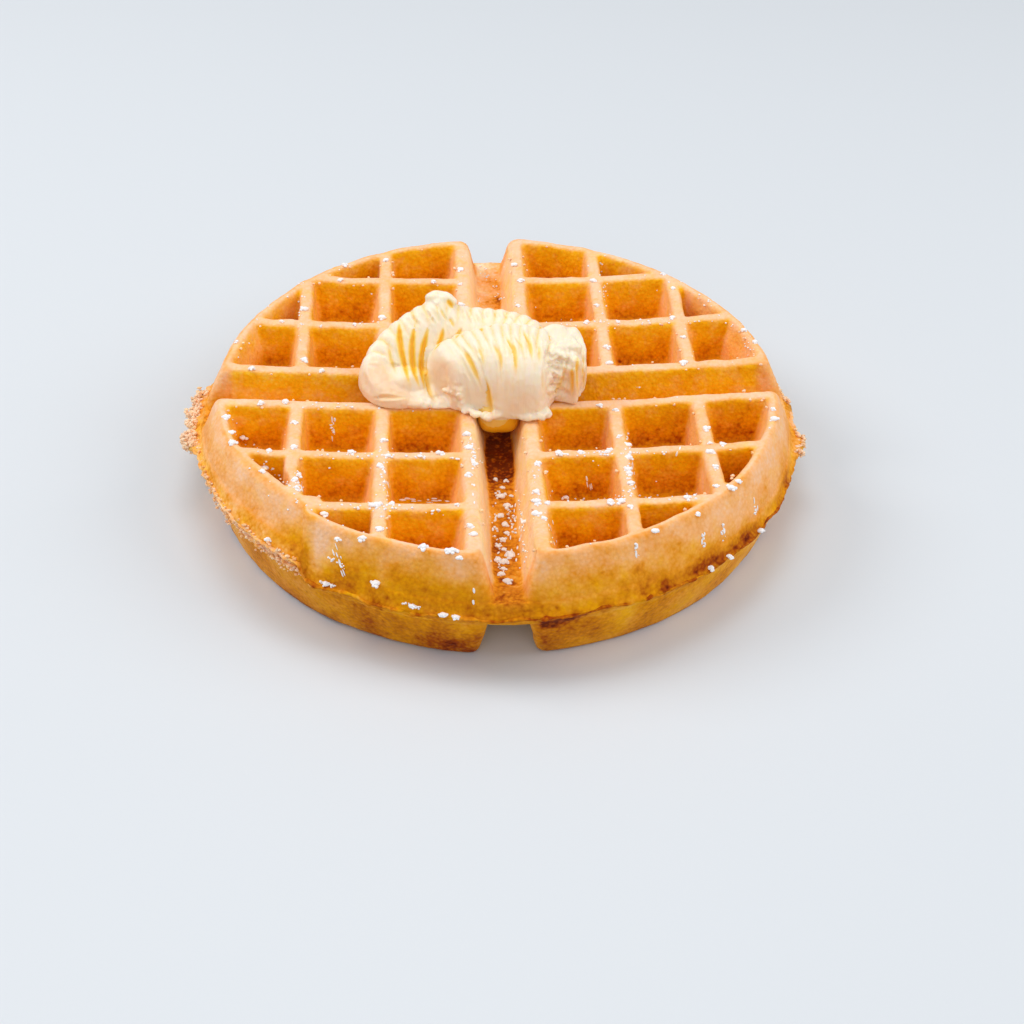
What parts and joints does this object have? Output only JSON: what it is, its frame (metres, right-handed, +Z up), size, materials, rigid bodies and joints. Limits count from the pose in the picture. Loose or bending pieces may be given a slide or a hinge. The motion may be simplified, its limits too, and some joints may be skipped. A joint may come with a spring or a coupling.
{
  "type": "belgian waffle",
  "caption": "Thick round waffle with deep square pockets, quartered by cross channels on both faces, with a scoop of whipped butter in the middle and a dusting of sugar.",
  "frame": {"origin": "centre of the resting face, under the middle of the whole box", "axes": "+Z up out of the waffle's top; -Y is the front that the picture shows nearest; +X to the right"},
  "size_m": [0.1838, 0.179, 0.0532],
  "materials": {
    "crust": "matt baked batter, pale gold on the ribs and browner in the pockets",
    "butter": "soft satin cream"
  },
  "bodies": {
    "root": {"waffle": "crust", "butter": "butter"}
  },
  "joints": []
}
